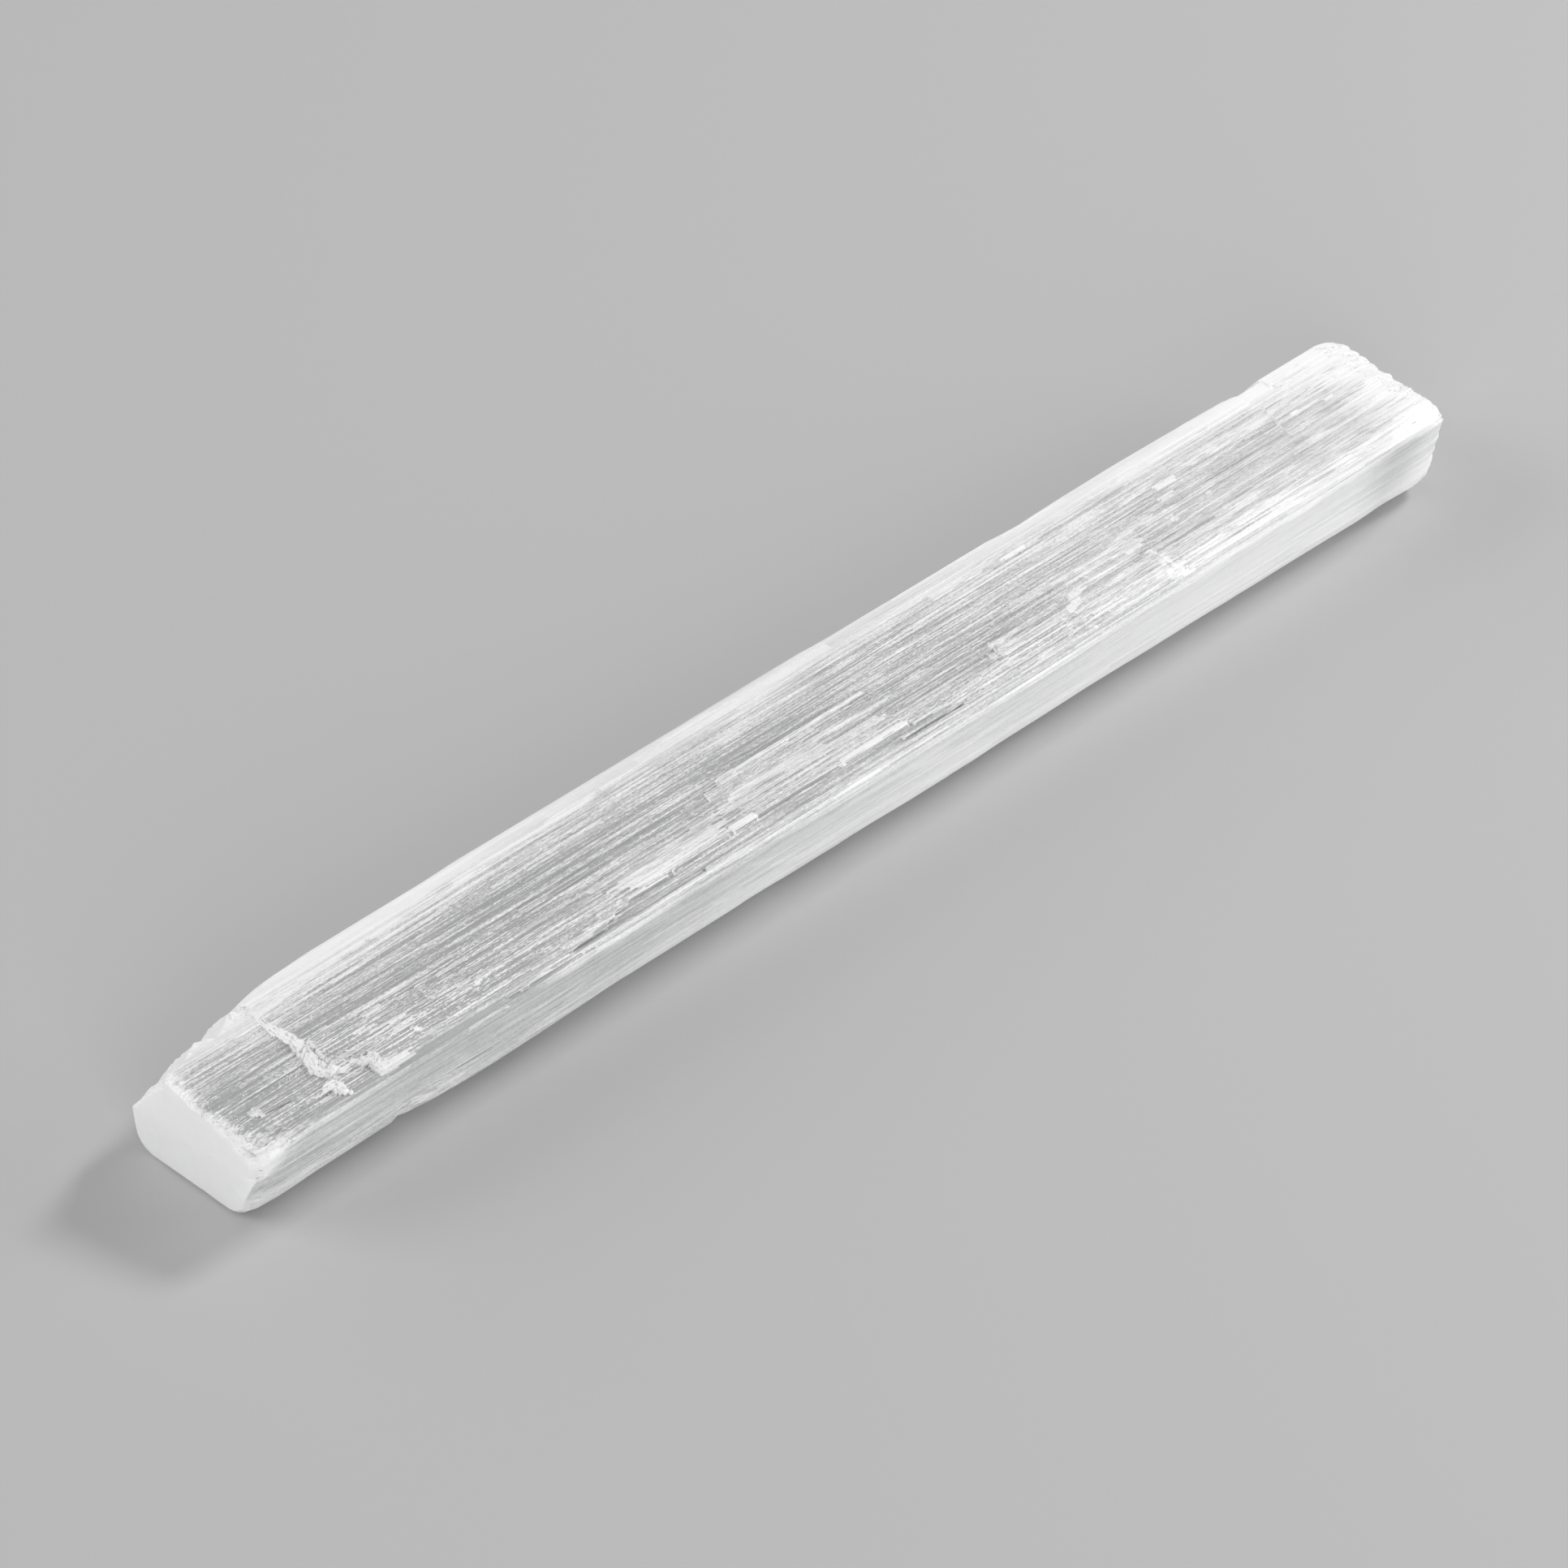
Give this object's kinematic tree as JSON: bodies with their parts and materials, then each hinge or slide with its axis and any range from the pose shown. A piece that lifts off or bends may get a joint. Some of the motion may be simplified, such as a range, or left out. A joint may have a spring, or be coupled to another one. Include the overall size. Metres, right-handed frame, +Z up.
{
  "type": "selenite crystal blade",
  "caption": "Long flat bar of white fibrous selenite with split ledges along its top, one sawn end and one broken end, lying on its flat face.",
  "frame": {"origin": "middle of the underside of the blade's bounding box", "axes": "+X along the fibres from the sawn end to the broken end, +Y from the sharp front ridge to the rounded back shoulder, +Z up"},
  "size_m": [0.203, 0.0244, 0.0156],
  "materials": {
    "satin_spar": "translucent satin, milky white with grey fibre streaks"
  },
  "bodies": {
    "root": {"selenite_blade": "satin_spar"}
  },
  "joints": []
}
